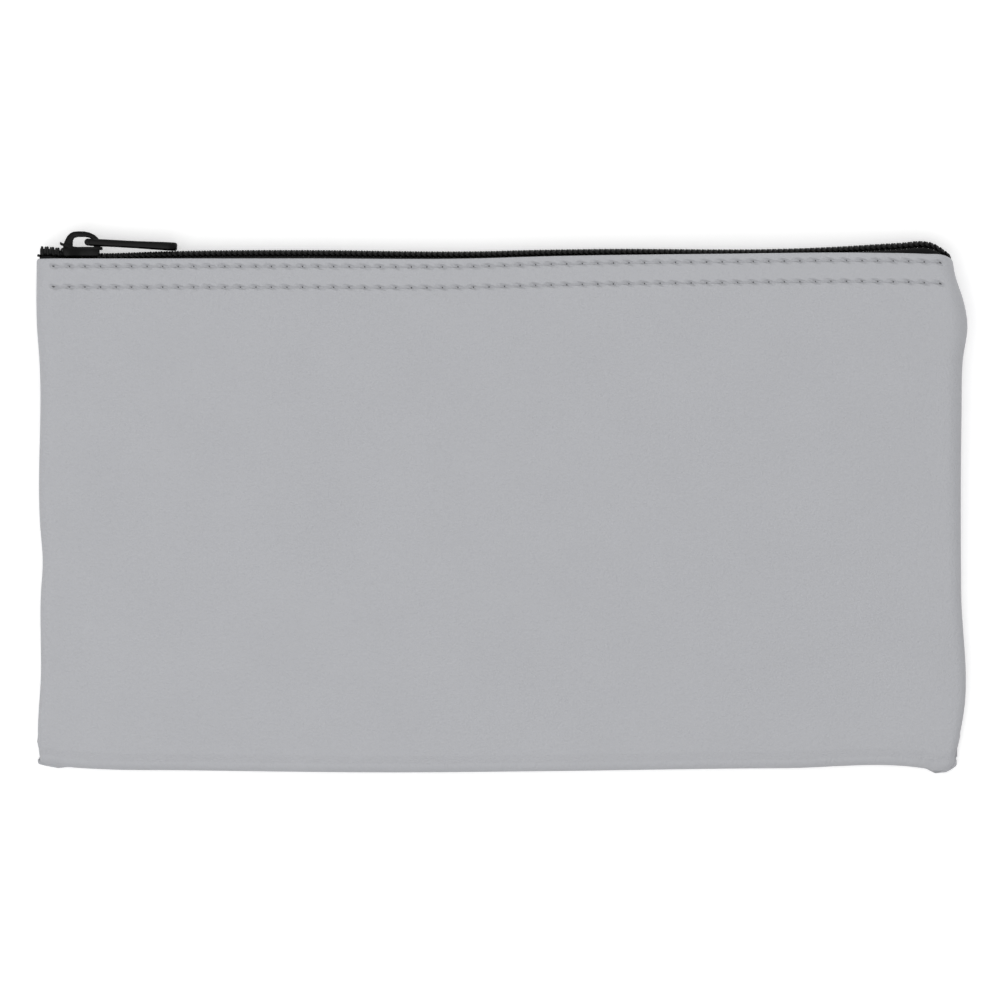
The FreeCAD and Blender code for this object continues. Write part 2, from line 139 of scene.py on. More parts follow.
def smooth(obj, angle=40):
    """Smooth shading, with edges sharper than the angle kept crisp."""
    take(obj)
    bpy.ops.object.shade_smooth_by_angle(angle=math.radians(angle))
    free()


def soften(obj, width, segments=3, angle=35):
    """Round every sharp edge."""
    bevel = obj.modifiers.new("Rounding", "BEVEL")
    bevel.width = width
    bevel.segments = segments
    bevel.limit_method = "ANGLE"
    bevel.angle_limit = math.radians(angle)
    bevel.harden_normals = False
    apply_modifiers(obj)


def wall(obj, thickness, offset=-1.0):
    """Give a sheet its thickness."""
    solid = obj.modifiers.new("Thickness", "SOLIDIFY")
    solid.thickness = thickness
    solid.offset = offset
    solid.use_even_offset = False
    apply_modifiers(obj)


def curve_through(value, knots):
    """Smooth curve through (place, amount) knots, in millimetres on both sides."""
    xs = np.array([k[0] for k in knots], float) * MM
    ys = np.array([k[1] for k in knots], float) * MM
    v = np.clip(value, xs[0], xs[-1])
    i = np.clip(np.searchsorted(xs, v) - 1, 0, len(xs) - 2)
    slope = np.gradient(ys, xs)
    span = xs[i + 1] - xs[i]
    t = (v - xs[i]) / span
    a = 2 * t ** 3 - 3 * t ** 2 + 1
    b = t ** 3 - 2 * t ** 2 + t
    c = -2 * t ** 3 + 3 * t ** 2
    d = t ** 3 - t ** 2
    return a * ys[i] + b * span * slope[i] + c * ys[i + 1] + d * span * slope[i + 1]


def ease(t):
    """Smooth step from 0 to 1."""
    t = np.clip(t, 0, 1)
    return t * t * (3 - 2 * t)


# ------------------------------------------------------------------ the bag's sewn outline
# Each knot is (place along the edge, where the edge lies), in millimetres.
CLOSED_SIDE = [(-78, 140.5), (-57, 140.4), (-47, 139.7), (4, 139.6), (16, 138.8), (26, 139.4), (50, 139.4),
               (74, 140.1), (78, 139.6)]
OPEN_SIDE = [(-78, 136.9), (-74, 137.6), (-68, 139.7), (-59.5, 141.4), (-47, 140.0), (-30, 139.7), (25, 139.7),
             (64, 140.4), (70, 139.3), (76, 137.7)]
FOOT = [(-139, 74.6), (-136, 77.0), (-133, 77.7), (-129, 77.0), (-85, 76.9), (-12, 77.8), (30, 78.15),
        (97, 77.5), (120, 77.2), (132, 76.4), (141, 74.8)]
MOUTH = [(-139, -76.3), (-134.5, -78.5), (-128, -79.0), (-115, -79.3), (-66, -79.0), (-12, -78.2),
         (6, -77.65), (60, -77.6), (141, -77.6)]
# How far the chain stands up from its usual level beside the fold.
CHAIN_RISE = [(-139, -1.6), (-136, -1.0), (-130, 1.5), (-121, 1.0), (-104, -0.2), (-30, -0.2), (0, 0.0),
              (104, 0.0), (120, -0.5), (131, -0.2), (136, 0.6), (141, 0.8)]



def mouth_edge(x):
    return curve_through(x, MOUTH)


def foot_edge(x):
    return curve_through(x, FOOT)


def side_edge(y, side):
    """Distance of the sewn side from the middle; side is +1 at the closed end."""
    return np.where(side > 0, curve_through(y, CLOSED_SIDE), curve_through(y, OPEN_SIDE))


def seam_height(y):
    """Height of the sewn seam between the two panels."""
    share = np.clip((y - level_y) / (foot_y - level_y), 0, 1)
    return middle_z + (foot_middle - middle_z) * share


def face_height(y):
    """Height of the front panel's outer face."""
    w = 7 * MM
    reach = np.logaddexp(0, (y - level_y) / w) * w
    full = np.logaddexp(0, (foot_y - level_y) / w) * w
    return thick + (foot_thick - thick) * reach / full


def shape_noise(x, y):
    """Slow unevenness of the vinyl, a few tenths of a millimetre."""
    a = np.sin(x * 31 + 1.3) * np.sin(y * 43 + 0.4)
    b = np.sin(x * 71 - y * 37 + 2.1)
    c = np.sin(x * 17 + y * 61 + 0.7)
    return (0.16 * a + 0.07 * b + 0.10 * c) * MM


def corner_crease(x, y):
    """Short diagonal fold in the vinyl at the open side's foot corner."""
    u = (x + 130.5 * MM) * 0.72 + (y - 73.5 * MM) * 0.70
    v = -(x + 130.5 * MM) * 0.70 + (y - 73.5 * MM) * 0.72
    ridge = np.exp(-(u / (1.6 * MM)) ** 2 - (v / (6 * MM)) ** 2)
    trough = np.exp(-((u - 2.6 * MM) / (1.2 * MM)) ** 2 - (v / (5 * MM)) ** 2)
    return (0.55 * ridge - 0.6 * trough) * MM


# ------------------------------------------------------------------ vinyl panels
GROOVE = 0.7


def roll(count):
    """Angles from the seam groove round the rolled edge to the flat face."""
    return np.linspace(-GROOVE, math.pi / 2, count)


def roll_height(angle):
    return (np.sin(angle) + math.sin(GROOVE)) / (1 + math.sin(GROOVE))


def panel_columns():
    """(side, inset share of the roll, extra inset, height share, place across) for each column."""
    cols = []
    groove = 1 - math.cos(GROOVE)
    for extra in (8.0, 5.0, 2.0, 0.5):
        cols.append((-1, groove, extra * MM, 0.0, None))
    for angle in roll(11):
        cols.append((-1, 1 - math.cos(angle), 0.0, roll_height(angle), None))
    edge = len(cols)
    inner = 136
    for k in range(1, inner):
        cols.append((0, 0.0, 0.0, 1.0, k / inner))
    for angle in roll(11)[::-1]:
        cols.append((1, 1 - math.cos(angle), 0.0, roll_height(angle), None))
    for extra in (0.5, 2.0, 5.0, 8.0):
        cols.append((1, groove, extra * MM, 0.0, None))
    return cols, edge


def panel_rows():
    """(distance from the mouth fold, depth inside the face, height share, cut distance) for each row."""
    rows = []
    half = turned / 2
    for y in (11.0, 8.8, 6.0, 3.5, 2.0, 1.1):
        rows.append((y * MM, turned, 1.0, -y * MM))
    for angle in np.linspace(-math.pi / 2, math.pi / 2, 9):
        back = half * (1 - math.cos(angle))
        rows.append((back, half * (1 - math.sin(angle)), 1.0, (angle * 0.5) * MM))
    for y in (1.3, 1.8, 2.45, 3.1, 4.2, 5.4, 6.8, 8.0, 8.75, 9.5, 11.0, 13.0):
        rows.append((y * MM, 0.0, 1.0, y * MM))
    foot_roll = 2.6 * MM
    for y in np.linspace(15.5 * MM, 156 * MM - foot_roll, 56)[:-1]:
        rows.append((y, 0.0, 1.0, y))
    for angle in roll(9)[::-1]:
        y = 156 * MM - foot_roll * (1 - math.cos(angle))
        height = roll_height(angle)
        rows.append((y, 0.0, height, 156 * MM + (1 - height) * 2.6 * MM))
    end = 156 * MM - foot_roll * (1 - math.cos(GROOVE))
    for extra in (0.5, 2.0, 5.0, 8.0):
        rows.append((end - extra * MM, 0.0, 0.0, 159 * MM + extra * MM))
    return rows


def make_panel(name, front):
    """One vinyl panel as a single sheet: turned hem, face, rolled edges and seam allowances."""
    cols, _ = panel_columns()
    rows = panel_rows()
    free()
    bpy.ops.mesh.primitive_grid_add(x_subdivisions=len(cols) - 1, y_subdivisions=len(rows) - 1, size=2)
    obj = named(name)
    co = points(obj)
    ci = np.rint((co[:, 0] + 1) / 2 * (len(cols) - 1)).astype(int)
    ri = np.rint((co[:, 1] + 1) / 2 * (len(rows) - 1)).astype(int)
    side = np.array([c[0] for c in cols])[ci]
    inset = np.array([c[1] for c in cols])[ci]
    extra = np.array([c[2] for c in cols])[ci]
    across = np.array([c[4] if c[4] is not None else 0.0 for c in cols])[ci]
    height = np.array([c[3] for c in cols])[ci] * np.array([r[2] for r in rows])[ri]
    down = np.array([r[0] for r in rows])[ri]
    depth = np.array([r[1] for r in rows])[ri]
    cut = np.array([r[3] for r in rows])[ri]
    y0 = mouth_y + down
    radius = 2.4 * MM + 3.0 * MM * np.clip((foot_y - y0) / (foot_y - level_y), 0, 1)
    closed = side_edge(y0, np.ones_like(y0))
    opened = side_edge(y0, -np.ones_like(y0))
    x_roll = np.where(side > 0, closed - radius * inset - extra, -(opened - radius * inset - extra))
    x_face = -(opened - radius) + across * (closed - radius + opened - radius)
    x = np.where(side == 0, x_face, x_roll - side * depth)
    share = down / (foot_y - mouth_y)
    y = mouth_edge(x) * (1 - share) + foot_edge(x) * share
    middle = seam_height(y0)
    uneven = (shape_noise(x, y) + (corner_crease(x, y) if front else 0)) * ease(down / (14 * MM))
    if front:
        top = face_height(y0) + uneven
        z = middle + 0.06 * MM + (top - depth - middle) * height
    else:
        z = middle - 0.06 * MM - (middle - depth) * height
        z = np.maximum(z, 0.02 * MM)
    move_points(obj, np.column_stack([x, y, z]))
    flat_x = x + np.sign(x) * (1 - height) * 3 * MM
    layer = obj.data.uv_layers.new(name="cut")
    loops = np.zeros(len(obj.data.loops), int)
    obj.data.loops.foreach_get("vertex_index", loops)
    layer.data.foreach_set("uv", np.column_stack([flat_x, cut])[loops].ravel())
    trim_corners(obj, ci, ri, len(cols), len(rows))
    if not front:
        take(obj)
        bpy.ops.object.mode_set(mode="EDIT")
        bpy.ops.mesh.select_all(action="SELECT")
        bpy.ops.mesh.flip_normals()
        free()
    wall(obj, skin, -1.0)
    smooth(obj, 60)
    return obj


def trim_corners(obj, ci, ri, n_cols, n_rows):
    """Cut away the corners where two allowances or an allowance and the hem would lie double."""
    at_side = (ci < 4) | (ci > n_cols - 5)
    at_end = (ri > n_rows - 5) | (ri < 26)
    take(obj)
    bpy.ops.object.mode_set(mode="EDIT")
    bpy.ops.mesh.select_mode(type="VERT")
    bpy.ops.mesh.select_all(action="DESELECT")
    free()
    obj.select_set(True)
    obj.data.vertices.foreach_set("select", (at_side & at_end))
    bpy.ops.object.mode_set(mode="EDIT")
    bpy.ops.mesh.delete(type="VERT")
    free()


# ------------------------------------------------------------------ zipper tape
def chain_level(x):
    """Y of the tape bed's outer face under the coil."""
    return mouth_edge(x) - 0.1 * MM - curve_through(x, CHAIN_RISE)


def end_pinch(x):
    """How much the mouth narrows at its sewn ends."""
    gap = np.where(x > 0, side_edge(np.full_like(x, mouth_y), np.ones_like(x)) - x,
                   side_edge(np.full_like(x, mouth_y), -np.ones_like(x)) + x)
    return 0.10 + 0.90 * np.sqrt(np.clip(1 - (1 - np.clip(gap / (5.6 * MM), 0, 1)) ** 2, 0, 1))


def make_tape(name, front):
    """Woven tape: a bed under the coil, then a turn down inside the hem."""
    profile = [(0.65, 0.0), (2.0, 0.0), (3.4, 0.0), (4.6, 0.0)]
    for angle in (20, 45, 70):
        a = math.radians(angle)
        profile.append((4.85 + 0.8 * math.sin(a), 0.8 - 0.8 * math.cos(a)))
    profile += [(5.65, 1.2), (5.65, 2.45), (5.65, 4.5), (5.65, 6.8), (5.65, 8.75), (5.65, 10.5), (5.65, 12.1)]
    columns = 280
    free()
    bpy.ops.mesh.primitive_grid_add(x_subdivisions=columns, y_subdivisions=len(profile) - 1, size=2)
    obj = named(name)
    co = points(obj)
    reach = 138.0 * MM
    x = co[:, 0] * reach
    x = np.where(x < 0, x * (136.6 / 138.0), x * (139.4 / 138.0))
    ri = np.rint((co[:, 1] + 1) / 2 * (len(profile) - 1)).astype(int)
    off = np.array([p[0] for p in profile])[ri] * MM
    down = np.array([p[1] for p in profile])[ri] * MM
    pinch = end_pinch(x)
    off = off * np.where(off > 3 * MM, pinch, np.minimum(pinch + 0.3, 1))
    fade = ease(down / (6 * MM))
    y = (chain_level(x) + 0.25 * MM) * (1 - fade) + (mouth_edge(x) + 0.15 * MM) * fade + down
    z = middle_z + (off if front else -off)
    move_points(obj, np.column_stack([x, y, z]))
    layer = obj.data.uv_layers.new(name="cut")
    loops = np.zeros(len(obj.data.loops), int)
    obj.data.loops.foreach_get("vertex_index", loops)
    layer.data.foreach_set("uv", np.column_stack([x, off + down])[loops].ravel())
    wall(obj, 0.42 * MM, 0.0)
    outward(obj)
    smooth(obj, 60)
    return obj


# ------------------------------------------------------------------ coil, cord and sewing thread
def spread(x):
    """How far one coil stands off the middle where the slider's divider parts the chain."""
    return 1.2 * MM * np.clip((x - slider_x) / (3.7 * MM), 0, 1)


def turn_stub(x, off, out):
    """Turn the loose end of the chain past the slider, so that its loops face the front and back."""
    twist = 1.25 * ease((x - 130.5 * MM) / (4 * MM))
    pivot_off, pivot_out = 3.0 * MM, 0.4 * MM
    a, b = off - pivot_off, out - pivot_out
    return (pivot_off + a * np.cos(twist) + b * np.sin(twist),
            pivot_out - a * np.sin(twist) + b * np.cos(twist))


def swept(name, path, radius, sides=6):
    """Round bar swept along a path of (x, y, z) points, as a mesh."""
    free()
    bpy.ops.curve.primitive_nurbs_path_add()
    curve = named(name)
    curve.data.splines.clear()
    line = curve.data.splines.new("POLY")
    line.points.add(len(path) - 1)
    for point, place in zip(line.points, path):
        point.co = (*place, 1.0)
    curve.data.bevel_depth = radius
    curve.data.bevel_resolution = max(0, sides // 2 - 2)
    curve.data.use_fill_caps = True
    take(curve)
    bpy.ops.object.convert(target="MESH")
    return named(name)


def repeat(obj, count, step, merge=False):
    """Copy a piece along X."""
    array = obj.modifiers.new("Row", "ARRAY")
    array.count = count
    array.use_relative_offset = False
    array.use_constant_offset = True
    array.constant_offset_displace = (step, 0, 0)
    array.use_merge_vertices = merge
    array.merge_threshold = 0.00002
    apply_modifiers(obj)


# One turn of the nylon coil: (share of the pitch, distance off the middle, distance out).
TURN = [(0.00, 2.30, 1.12), (0.08, 2.24, 1.45), (0.15, 2.00, 1.68), (0.22, 1.55, 1.80), (0.25, 0.90, 1.82),
        (0.25, 0.25, 1.74), (0.25, -0.16, 1.50), (0.25, -0.30, 1.12), (0.25, -0.16, 0.72), (0.25, 0.25, 0.46),
        (0.25, 0.90, 0.38), (0.28, 1.60, 0.40), (0.40, 2.05, 0.48), (0.60, 2.26, 0.62), (0.82, 2.31, 0.86),
        (1.00, 2.30, 1.12)]


def make_coil(name, front):
    """Nylon coil: one turn of wire, repeated along the zipper."""
    low = -136.3 * MM + (pitch / 2 if front else 0.0)
    count = int((140.6 * MM - low) / pitch)
    path = [(low + s * pitch, off * MM, out * MM) for s, off, out in TURN]
    obj = swept(name, path, 0.42 * MM, 8)
    repeat(obj, count, pitch, True)
    co = points(obj)
    x, off, out = co[:, 0], co[:, 1], co[:, 2]
    off, out = turn_stub(x, off + spread(x), out)
    off = off * (1 - 0.5 * ease((-131 * MM - x) / (5 * MM)))
    y = chain_level(x) - out
    z = middle_z + (off if front else -off)
    move_points(obj, np.column_stack([x, y, z]))
    outward(obj)
    smooth(obj, 80)
    return obj


def make_cord(name, front):
    """Spun cord through the coil."""
    obj = swept(name, [(x, 0, 0) for x in np.linspace(-134.5 * MM, 139.4 * MM, 180)], 0.5 * MM, 10)
    co = points(obj)
    x = co[:, 0]
    off, out = turn_stub(x, 1.05 * MM + spread(x) + 1.9 * co[:, 2], 1.12 * MM + 1.25 * co[:, 1])
    z = middle_z + (off if front else -off)
    move_points(obj, np.column_stack([x, chain_level(x) - out, z]))
    outward(obj)
    smooth(obj, 60)
    return obj


def follow_row(obj, row, height, lift):
    """Lay a straight run of stitches along the mouth: row is its depth below the fold."""
    co = points(obj)
    x = co[:, 0]
    y = mouth_edge(x) + row + co[:, 1]
    z = height(x, y) + lift * co[:, 2]
    move_points(obj, np.column_stack([x, y, z]))


def stitch_run(name, low, high, step, radius, rise=0.2, slope=0.0):
    """Straight run of lockstitches along X: each one dips into the cloth at both ends."""
    reach = step / 2 - 0.16 * MM
    sink = -0.55 * MM
    path = [(-reach, -slope, sink), (-reach * 0.93, -slope, -0.05 * MM),
            (-reach * 0.72, -slope * 0.7, rise * 0.75 * MM),
            (0, 0, rise * MM), (reach * 0.72, slope * 0.7, rise * 0.75 * MM), (reach * 0.93, slope, -0.05 * MM),
            (reach, slope, sink)]
    count = max(1, int((high - low) / step))
    start = (low + high) / 2 - (count - 1) * step / 2
    path = [(start + a, b, c) for a, b, c in path]
    obj = swept(name, path, radius, 8)
    repeat(obj, count, step)
    return obj


def surface_under(panel, front):
    """Height function of a panel's outer face, felt for from outside."""
    start, way = (0.08, -1) if front else (-0.08, 1)

    def height(x, y):
        out = np.full_like(x, face_height(0) if front else 0.0)
        for i, (a, b) in enumerate(zip(x, y)):
            hit, place, _, _ = panel.ray_cast((a, b, start), (0, 0, way))
            if hit:
                out[i] = place[2]
        return out
    return height


def needle_row(name, row, front, panel):
    obj = stitch_run(name, ROW_LOW, ROW_HIGH, stitch, 0.22 * MM, 0.04, 0.06 * MM)
    follow_row(obj, row, surface_under(panel, front), 1.0 if front else -0.55)
    outward(obj)
    smooth(obj, 70)
    return obj


def bobbin_row(name, row, front):
    obj = stitch_run(name, ROW_LOW, ROW_HIGH, stitch, 0.22 * MM, 0.16, 0.05 * MM)
    inner = 5.40 * MM
    if front:
        follow_row(obj, row, lambda x, y: middle_z + inner * end_pinch(x), -1.0)
    else:
        follow_row(obj, row, lambda x, y: middle_z - inner * end_pinch(x), 1.0)
    outward(obj)
    smooth(obj, 70)
    return obj


def tacking_row(name, front):
    """Fine thread that sews the back of the coil to its tape."""
    obj = stitch_run(name, -133.0 * MM, 133.0 * MM, pitch, 0.11 * MM, 0.12)
    co = points(obj)
    x = co[:, 0]
    y = chain_level(x) - 0.12 * MM - co[:, 2] * 0.8
    off = 2.86 * MM + spread(x) + co[:, 1]
    z = middle_z + (off if front else -off)
    move_points(obj, np.column_stack([x, y, z]))
    outward(obj)
    smooth(obj, 70)
    return obj


def side_seam(name, side):
    """Lockstitches along a side seam, on the back panel's allowance inside the bag."""
    obj = stitch_run(name, level_y + 2 * MM, foot_y - 10 * MM, stitch, 0.22 * MM, 0.16)
    co = points(obj)
    y = co[:, 0]
    x = side * (side_edge(y, np.full_like(y, side)) - 4.6 * MM) + co[:, 1]
    z = seam_height(y) - 0.06 * MM - skin - co[:, 2]
    move_points(obj, np.column_stack([x, y, z]))
    outward(obj)
    smooth(obj, 70)
    return obj


def foot_seam(name):
    """Lockstitches along the foot seam, on the back panel's allowance inside the bag."""
    obj = stitch_run(name, -128 * MM, 128 * MM, stitch, 0.22 * MM, 0.16)
    co = points(obj)
    x = co[:, 0]
    y = foot_edge(x) - 4.4 * MM + co[:, 1]
    z = seam_height(np.full_like(x, foot_y - 4 * MM)) - 0.06 * MM - skin - co[:, 2]
    move_points(obj, np.column_stack([x, y, z]))
    outward(obj)
    smooth(obj, 70)
    return obj


# ------------------------------------------------------------------ slider and pull tab
def slab(name, outline, low, high, plane):
    """Solid from an outline in millimetres, drawn out between two levels.

    plane "out" draws an (x, z) outline out of the mouth; plane "across" draws an (x, out) outline along Z.
    """
    free()
    bpy.ops.mesh.primitive_circle_add(vertices=len(outline), radius=1, fill_type="NGON")
    obj = named(name)
    if plane == "out":
        co = [(x, -low, z) for x, z in outline]
        way = (0, -(high - low) * MM, 0)
    else:
        co = [(x, -out, low) for x, out in outline]
        way = (0, 0, (high - low) * MM)
    move_points(obj, np.array(co) * MM)
    take(obj)
    bpy.ops.object.mode_set(mode="EDIT")
    bpy.ops.mesh.select_all(action="SELECT")
    bpy.ops.mesh.extrude_region_move(TRANSFORM_OT_translate={"value": way})
    free()
    outward(obj)
    return obj


def cut_across(obj, places):
    """Add edge loops across a piece at some x places, in millimetres."""
    take(obj)
    bpy.ops.object.mode_set(mode="EDIT")
    for x in places:
        bpy.ops.mesh.select_all(action="SELECT")
        bpy.ops.mesh.bisect(plane_co=(x * MM, 0, 0), plane_no=(1, 0, 0))
    free()


def both_sides(half):
    """Close a half outline over z = 0."""
    return half + [(x, -z) for x, z in reversed(half)]


def join(name, parts):
    """One piece out of several."""
    free()
    for part in parts:
        part.select_set(True)
    bpy.context.view_layer.objects.active = parts[0]
    bpy.ops.object.join()
    return named(name)


def to_place(obj, x, y, z):
    """Move a finished piece by its mesh."""
    move_points(obj, points(obj) + np.array([x, y, z]))


def make_slider():
    """Die-cast slider: two plates with lips, a divider and the long arch."""
    half = [(-6.4, 3.0), (-5.9, 3.55), (-5.0, 3.78), (-3.0, 3.80), (-0.2, 3.86), (1.4, 4.15), (2.9, 4.75),
            (3.9, 4.95), (5.2, 4.93), (6.0, 4.55), (6.45, 3.7)]
    top = slab("slider_top", both_sides(half), 2.32, 3.2, "out")
    cut_across(top, (1.5, 2.5, 3.5, 4.5, 5.5))
    co = points(top)
    rise = np.clip((co[:, 0] / MM - 1.2) / 5.2, 0, 1) ** 1.7
    co[:, 1] -= 1.55 * MM * rise
    co[:, 2] *= 1 - 0.04 * rise
    move_points(top, co)
    soften(top, 0.3 * MM, 3, 30)
    bottom = slab("slider_bottom", both_sides(half), -1.7, -0.82, "out")
    cut_across(bottom, (1.5, 3.0, 4.5, 5.5))
    co = points(bottom)
    co[:, 1] += 0.5 * MM * np.clip((co[:, 0] / MM - 2.5) / 4, 0, 1) ** 1.7
    move_points(bottom, co)
    soften(bottom, 0.3 * MM, 3, 30)
    wedge = slab("slider_divider", [(1.6, 0.0), (2.4, 0.28), (3.7, 0.5), (5.4, 0.5), (6.0, 0.25), (6.0, -0.25),
                                    (5.4, -0.5), (3.7, -0.5), (2.4, -0.28)], -1.3, 3.0, "out")
    soften(wedge, 0.12 * MM, 2, 30)
    parts = [top, bottom, wedge]
    for side in (1, -1):
        line = [(-5.4, 3.05), (-0.1, 3.08), (3.8, 4.28), (5.3, 4.28), (5.3, 4.93), (3.9, 4.95), (2.9, 4.75),
                (1.4, 4.15), (-0.2, 3.82), (-3.0, 3.78), (-5.4, 3.72)]
        lip = slab("slider_lip", [(x, side * z) for x, z in line], 0.34, 2.9, "out")
        soften(lip, 0.22 * MM, 3, 30)
        parts.append(lip)
    arch = [(5.6, 2.7), (5.5, 3.9), (5.0, 5.2), (4.3, 6.5), (3.5, 7.3), (2.5, 7.85), (0.9, 8.0), (-0.9, 7.95),
            (-2.5, 7.6), (-4.0, 6.9), (-5.1, 5.9), (-5.7, 4.9), (-5.85, 3.9), (-5.85, 2.7),
            (-3.75, 2.7), (-3.7, 4.6), (-3.35, 5.4), (-2.6, 5.95), (-1.2, 6.25), (1.0, 6.25), (2.1, 5.95),
            (2.55, 5.3), (2.62, 4.3), (2.62, 2.7)]
    bridge = slab("slider_arch", arch, -1.2, 1.2, "across")
    soften(bridge, 0.42 * MM, 4, 50)
    parts.append(bridge)
    obj = join("slider", parts)
    to_place(obj, slider_x, mouth_y, middle_z)
    smooth(obj, 38)
    return obj


def make_tab():
    """Flat pull tab: an eye with a round pin at one end and a thumb rest at the other."""
    half = [(0.0, 2.6), (-2.2, 2.6), (-6.2, 2.6), (-9.0, 2.36), (-13.5, 2.3), (-18.0, 2.42), (-22.0, 2.6),
            (-24.4, 2.6), (-25.7, 2.3), (-26.6, 1.6), (-27.05, 0.7)]
    body = slab("tab_body", both_sides(half), -1.08, 1.08, "out")
    eye = slab("tab_eye", [(0.6, 1.36), (-5.2, 1.36), (-6.2, 0.9), (-6.5, 0.0), (-6.2, -0.9), (-5.2, -1.36),
                           (0.6, -1.36)], -2, 2, "out")
    hole = body.modifiers.new("Eye", "BOOLEAN")
    hole.operation = "DIFFERENCE"
    hole.solver = "EXACT"
    hole.object = eye
    apply_modifiers(body)
    free()
    eye.select_set(True)
    bpy.ops.object.delete()
    soften(body, 0.72 * MM, 5, 40)
    thumb = [(-10.0, 1.35), (-14.0, 1.3), (-19.0, 1.45), (-23.5, 1.6), (-25.0, 1.2), (-25.4, 0.5)]
    for level in (0.86, -2.0):
        dish = slab("tab_dish", both_sides(thumb), level, level + 1.14, "out")
        soften(dish, 0.25 * MM, 3, 50)
        cut = body.modifiers.new("Dish", "BOOLEAN")
        cut.operation = "DIFFERENCE"
        cut.solver = "EXACT"
        cut.object = dish
        apply_modifiers(body)
        free()
        dish.select_set(True)
        bpy.ops.object.delete()
    co = points(body)
    grow = 1 + 0.16 * ease((-co[:, 0] / MM - 16) / 8)
    co[:, 1] *= grow
    move_points(body, co)
    free()
    bpy.ops.mesh.primitive_cylinder_add(vertices=32, radius=1.06 * MM, depth=5.1 * MM)
    pin = named("tab_pin")
    settle(pin)
    soften(pin, 0.3 * MM, 3, 40)
    obj = join("tab", [body, pin])
    pin_x = tab_high[0] - 1.1 * MM
    pin_y = mouth_y - 4.7 * MM
    lean = math.atan2(tab_high[1] - pin_y - 1.1 * MM, 26 * MM)
    turn = np.array(Matrix.Rotation(-lean, 3, "Z"))
    move_points(obj, points(obj) @ turn.T)
    to_place(obj, pin_x, pin_y, middle_z)
    smooth(obj, 38)
    return obj


# ------------------------------------------------------------------ materials
def linear(code):
    """Linear colour from an sRGB hex value."""
    out = []
    for k in (0, 2, 4):
        c = int(code[k:k + 2], 16) / 255
        out.append(c / 12.92 if c <= 0.04045 else ((c + 0.055) / 1.055) ** 2.4)
    return (*out, 1.0)


def add_node(tree, kind, settings=None, links=None):
    """Add a node, set its properties or input values, and link sockets into its inputs."""
    node = tree.nodes.new(kind)
    for key, value in (settings or {}).items():
        if hasattr(node, key) and not key[0].isupper():
            setattr(node, key, value)
        else:
            node.inputs[key].default_value = value
    for key, socket in (links or {}).items():
        tree.links.new(socket, node.inputs[key])
    return node


def new_material(name, **values):
    """Material with a principled shader; values are its plain inputs."""
    made = bpy.data.materials.new(name)
    made.use_nodes = True
    shader = made.node_tree.nodes["Principled BSDF"]
    for key, value in values.items():
        shader.inputs[key.replace("_", " ")].default_value = value
    return made, made.node_tree, shader


def maths(tree, operation, a, b=None):
    """One Math node from sockets or numbers."""
    node = tree.nodes.new("ShaderNodeMath")
    node.operation = operation
    for i, value in enumerate((a, b)):
        if value is None:
            continue
        if isinstance(value, (int, float)):
            node.inputs[i].default_value = value
        else:
            tree.links.new(value, node.inputs[i])
    return node.outputs[0]


